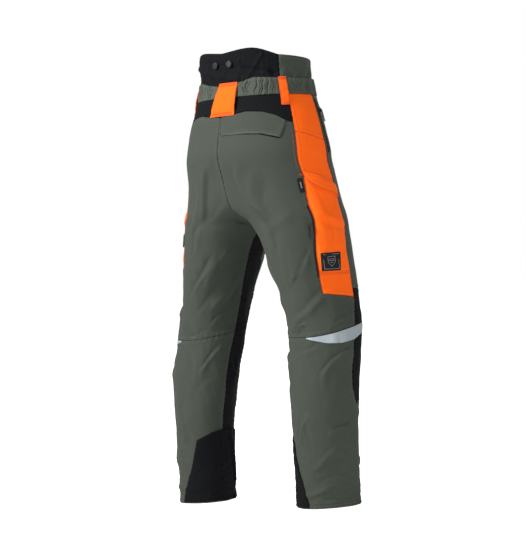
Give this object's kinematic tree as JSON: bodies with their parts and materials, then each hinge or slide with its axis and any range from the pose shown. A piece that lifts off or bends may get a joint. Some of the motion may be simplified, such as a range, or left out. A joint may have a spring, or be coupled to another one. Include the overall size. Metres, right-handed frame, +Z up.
{
  "type": "chainsaw trousers",
  "caption": "Protective work trousers with a gathered elastic waist, high back, side cargo pockets, zips, knee and ankle patches and inner cut pads.",
  "frame": {"origin": "centre of the waist at the middle height of the waistband", "axes": "+X the wearer's left, +Y the wearer's back, +Z up along the legs"},
  "size_m": [0.5596, 0.3189, 1.1436],
  "materials": {
    "cloth_green": "matt",
    "cloth_black": "matt",
    "cloth_orange": "matt",
    "reflective_tape": "satin",
    "elastic_rib": "matt",
    "pad_fibre": "matt",
    "pocket_lining": "matt",
    "black_plastic": "satin",
    "zip_tape": "matt",
    "label_black": "matt"
  },
  "bodies": {
    "trousers": {"back_pocket_bag_right": "pocket_lining", "back_yoke": "cloth_black", "belt_loop_back": "cloth_orange", "belt_loop_side_left": "cloth_orange", "belt_loop_side_right": "cloth_orange", "brace_button_left": "black_plastic", "brace_button_right": "black_plastic", "cargo_pocket_left": "cloth_orange", "cargo_pocket_right": "cloth_orange", "cut_pad_thigh_left": "pad_fibre", "cut_pad_thigh_right": "pad_fibre", "emblem_label_right": "label_black", "flag_label_right": "label_black", "fly_zip_tape": "zip_tape", "front_thigh_panel_left": "cloth_green", "front_thigh_panel_right": "cloth_green", "high_back_panel": "cloth_black", "inner_thigh_panel_left": "cloth_black", "inner_thigh_panel_right": "cloth_black", "seat_panel_left": "cloth_green", "seat_panel_right": "cloth_green", "side_panel_left": "cloth_orange", "side_panel_right": "cloth_orange", "side_waist_panel_left": "cloth_green", "side_waist_panel_right": "cloth_green", "slash_zip_left_tape": "zip_tape", "slash_zip_right_tape": "zip_tape", "vent_zip_left_tape": "zip_tape", "vent_zip_right_tape": "zip_tape", "waist_elastic": "elastic_rib", "waist_stud": "black_plastic", "waistband_casing": "elastic_rib"},
    "lower_leg_left": {"shin_panel_left": "cloth_green", "inner_shin_panel_left": "cloth_black", "knee_panel_left": "cloth_black", "ankle_patch_left": "cloth_black", "reflective_slash_left": "reflective_tape", "cut_pad_shin_left": "pad_fibre"},
    "lower_leg_right": {"shin_panel_right": "cloth_green", "inner_shin_panel_right": "cloth_black", "knee_panel_right": "cloth_black", "ankle_patch_right": "cloth_black", "reflective_slash_right": "reflective_tape", "cut_pad_shin_right": "pad_fibre"},
    "back_pocket_flap_right": {"back_pocket_flap_right": "cloth_green"},
    "cargo_flap_left": {"cargo_flap_left": "cloth_orange"},
    "cargo_flap_right": {"cargo_flap_right": "cloth_orange"},
    "fly_zip_puller": {"fly_zip_puller": "black_plastic"},
    "fly_zip_slider": {"fly_zip_slider": "black_plastic"},
    "slash_zip_left_puller": {"slash_zip_left_puller": "black_plastic"},
    "slash_zip_left_slider": {"slash_zip_left_slider": "black_plastic"},
    "slash_zip_right_puller": {"slash_zip_right_puller": "black_plastic"},
    "slash_zip_right_slider": {"slash_zip_right_slider": "black_plastic"},
    "vent_zip_left_puller": {"vent_zip_left_puller": "black_plastic"},
    "vent_zip_left_slider": {"vent_zip_left_slider": "black_plastic"},
    "vent_zip_right_puller": {"vent_zip_right_puller": "black_plastic"},
    "vent_zip_right_slider": {"vent_zip_right_slider": "black_plastic"}
  },
  "joints": [
    {"name": "knee_left", "type": "hinge", "parent": "trousers", "child": "lower_leg_left", "pos_m": [0.192, 0.0971, -0.625], "axis": [1, 0, 0], "range_deg": [0, 60], "stiffness_Nm_per_rad": 1, "springref_deg": -14.32},
    {"name": "knee_right", "type": "hinge", "parent": "trousers", "child": "lower_leg_right", "pos_m": [-0.192, 0.0971, -0.625], "axis": [1, 0, 0], "range_deg": [0, 60], "stiffness_Nm_per_rad": 1, "springref_deg": -14.32},
    {"name": "cargo_flap_left_lift", "type": "hinge", "parent": "trousers", "child": "cargo_flap_left", "pos_m": [0.2054, -0.002, -0.2304], "axis": [0.11, -0.9538, -0.2796], "range_deg": [0, 100]},
    {"name": "cargo_flap_right_lift", "type": "hinge", "parent": "trousers", "child": "cargo_flap_right", "pos_m": [-0.2054, -0.002, -0.2304], "axis": [0.11, 0.9538, 0.2796], "range_deg": [0, 100]},
    {"name": "back_pocket_flap_lift", "type": "hinge", "parent": "trousers", "child": "back_pocket_flap_right", "pos_m": [-0.092, 0.1097, -0.0602], "axis": [0.913, 0.3911, 0.1158], "range_deg": [0, 45]},
    {"name": "fly_zip_run", "type": "slide", "parent": "trousers", "child": "fly_zip_slider", "axis": [0, 0.1479, 0.989], "range_m": [-0.11, 0.004]},
    {"name": "fly_zip_puller_swing", "type": "hinge", "parent": "fly_zip_slider", "child": "fly_zip_puller", "pos_m": [0, -0.1516, -0.034], "axis": [-1, 0, 0], "range_deg": [0, 120]},
    {"name": "slash_zip_left_run", "type": "slide", "parent": "trousers", "child": "slash_zip_left_slider", "axis": [-0.2104, 0.0797, 0.9744], "range_m": [-0.092, 0.02]},
    {"name": "slash_zip_left_puller_swing", "type": "hinge", "parent": "slash_zip_left_slider", "child": "slash_zip_left_puller", "pos_m": [0.1712, -0.059, -0.0572], "axis": [-0.3697, -0.9292, 0], "range_deg": [0, 120]},
    {"name": "slash_zip_right_run", "type": "slide", "parent": "trousers", "child": "slash_zip_right_slider", "axis": [0.2104, 0.0797, 0.9744], "range_m": [-0.092, 0.02]},
    {"name": "slash_zip_right_puller_swing", "type": "hinge", "parent": "slash_zip_right_slider", "child": "slash_zip_right_puller", "pos_m": [-0.1712, -0.059, -0.0572], "axis": [-0.3697, 0.9292, 0], "range_deg": [0, 120]},
    {"name": "vent_zip_left_run", "type": "slide", "parent": "trousers", "child": "vent_zip_left_slider", "axis": [-0.1372, 0.0087, 0.9905], "range_m": [-0.095, 0.04]},
    {"name": "vent_zip_left_puller_swing", "type": "hinge", "parent": "vent_zip_left_slider", "child": "vent_zip_left_puller", "pos_m": [0.2146, 0.057, -0.3521], "axis": [0.3967, -0.918, 0], "range_deg": [0, 120]},
    {"name": "vent_zip_right_run", "type": "slide", "parent": "trousers", "child": "vent_zip_right_slider", "axis": [0.1372, 0.0087, 0.9905], "range_m": [-0.095, 0.04]},
    {"name": "vent_zip_right_puller_swing", "type": "hinge", "parent": "vent_zip_right_slider", "child": "vent_zip_right_puller", "pos_m": [-0.2146, 0.057, -0.3521], "axis": [0.3967, 0.918, 0], "range_deg": [0, 120]}
  ]
}
